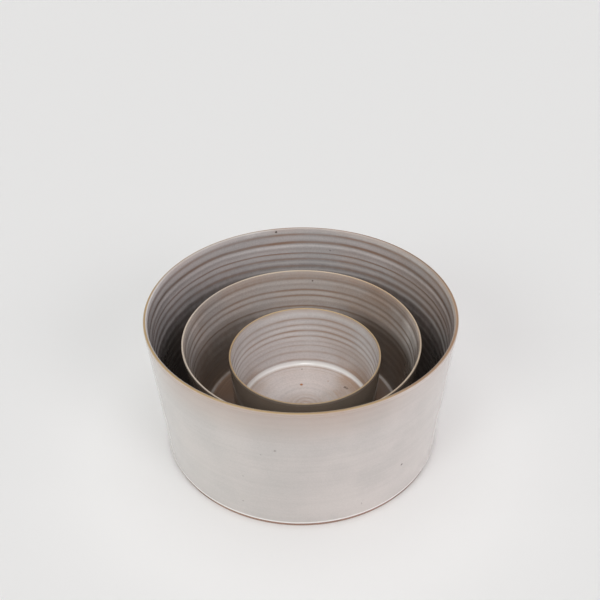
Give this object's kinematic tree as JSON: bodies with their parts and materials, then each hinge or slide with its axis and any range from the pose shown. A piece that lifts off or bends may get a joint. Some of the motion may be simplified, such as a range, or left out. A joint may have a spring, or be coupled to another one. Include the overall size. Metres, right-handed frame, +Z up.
{
  "type": "nesting bowl set",
  "caption": "Nest of straight-sided stoneware bowls with pale satin glaze, toasted rims and throwing rings; each smaller bowl stands inside the next and lifts out.",
  "frame": {"origin": "middle of the foot ring's face that the large bowl stands on", "axes": "+Z up along the large bowl's axis, +X to the right and +Y to the back as the bowls are seen from the front"},
  "size_m": [0.22, 0.22, 0.1108],
  "materials": {
    "large_glaze": "satin",
    "medium_glaze": "satin",
    "small_glaze": "satin"
  },
  "bodies": {
    "large_bowl": {"large_bowl": "large_glaze"},
    "medium_bowl": {"medium_bowl": "medium_glaze"},
    "small_bowl": {"small_bowl": "small_glaze"}
  },
  "joints": [
    {"name": "medium_lift", "type": "slide", "parent": "large_bowl", "child": "medium_bowl", "axis": [0, 0, 1], "range_m": [0, 0.115]},
    {"name": "small_lift", "type": "slide", "parent": "medium_bowl", "child": "small_bowl", "axis": [0, 0, 1], "range_m": [0, 0.11]}
  ]
}
